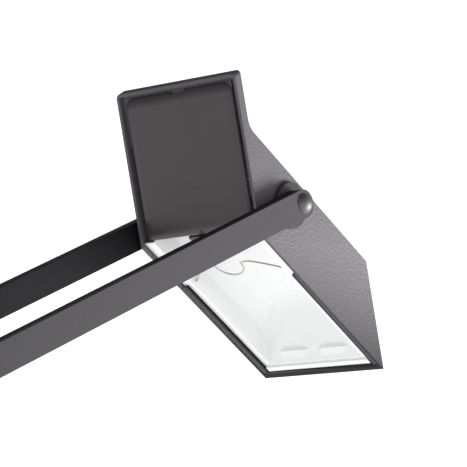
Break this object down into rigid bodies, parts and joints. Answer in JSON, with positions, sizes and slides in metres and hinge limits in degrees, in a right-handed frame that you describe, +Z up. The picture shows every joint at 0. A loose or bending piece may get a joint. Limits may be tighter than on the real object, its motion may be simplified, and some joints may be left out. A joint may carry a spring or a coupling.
{
  "type": "desk lamp",
  "caption": "Counterbalanced desk lamp: round base, swivelling post, twin-bar arms and a small tilting head with a raked grip and white reflector.",
  "frame": {"origin": "centre of the underside of the round base, on the surface it stands on, below the swivel axis", "axes": "+X from the base towards the lamp head, +Y across the lamp from the near to the far bars, +Z up"},
  "size_m": [0.5935, 0.11, 0.6229],
  "materials": {
    "shell_paint": "fine-textured satin powder coat",
    "bar_paint": "smooth satin",
    "post_paint": "smooth satin",
    "cover_plastic": "satin moulded",
    "housing_plastic": "fine-grained moulded",
    "black_plastic": "moulded",
    "nylon": "smooth",
    "white_enamel": "gloss white",
    "blued_steel": "black oxide",
    "bright_steel": "machined",
    "weight_iron": "satin painted",
    "laminated_steel": "laminated",
    "coil_wire": "enamelled copper",
    "contact_brass": "bright",
    "spring_steel": "drawn wire",
    "pad_rubber": "matt",
    "lead_sleeve": "woven glass sleeve"
  },
  "bodies": {
    "base": {"base_housing": "housing_plastic", "base_plate": "laminated_steel", "base_pad": "pad_rubber", "base_screws": "bright_steel", "swivel_bush": "nylon", "transformer_core": "laminated_steel", "transformer_coil": "coil_wire", "transformer_strap": "bright_steel", "transformer_screws": "bright_steel", "terminal_block": "nylon", "terminal_screws": "contact_brass", "cord_gland": "black_plastic", "gland_nut": "black_plastic", "switch_frame": "black_plastic", "switch_blades": "contact_brass"},
    "rocker": {"switch_rocker": "black_plastic"},
    "turret": {"turret_post": "post_paint", "swivel_nut": "bright_steel", "shoulder_screws": "blued_steel", "shoulder_discs": "black_plastic"},
    "lower_arm": {"lower_bar_near": "bar_paint", "lower_bar_far": "bar_paint", "lower_counterweight": "weight_iron", "lower_weight_pads": "nylon", "lower_weight_screws": "blued_steel", "elbow_bushes": "nylon", "shoulder_bushes": "nylon"},
    "upper_arm": {"upper_bar_near": "bar_paint", "upper_bar_far": "bar_paint", "upper_counterweight": "weight_iron", "upper_weight_pads": "nylon", "upper_weight_screws": "blued_steel", "head_bushes": "nylon", "elbow_screws": "blued_steel", "elbow_discs": "black_plastic", "elbow_nuts": "bright_steel"},
    "head": {"head_shell": "shell_paint", "head_cover": "cover_plastic", "cover_screws": "bright_steel", "reflector": "white_enamel", "lamp_holder": "black_plastic", "lamp_contacts": "contact_brass", "holder_bracket": "bright_steel", "bracket_screw": "bright_steel", "lamp_clip": "spring_steel", "head_leads": "lead_sleeve", "head_screws": "blued_steel", "head_discs": "black_plastic", "head_nuts": "contact_brass"}
  },
  "joints": [
    {"name": "base_swivel", "type": "hinge", "parent": "base", "child": "turret", "pos_m": [0, 0, 0.072], "axis": [0, 0, 1], "range_deg": [-170, 170]},
    {"name": "shoulder_pivot", "type": "hinge", "parent": "turret", "child": "lower_arm", "pos_m": [0, 0, 0.19], "axis": [0, 1, 0], "range_deg": [-40, 5]},
    {"name": "elbow_pivot", "type": "hinge", "parent": "lower_arm", "child": "upper_arm", "pos_m": [-0.20074, 0, 0.41294], "axis": [0, 1, 0], "range_deg": [-30, 40]},
    {"name": "head_tilt", "type": "hinge", "parent": "upper_arm", "child": "head", "pos_m": [0.16353, 0, 0.57818], "axis": [0, 1, 0], "range_deg": [-70, 60]},
    {"name": "switch_rock", "type": "hinge", "parent": "base", "child": "rocker", "pos_m": [0.034, 0, 0.071], "axis": [1, 0, 0], "range_deg": [0, 14]}
  ]
}
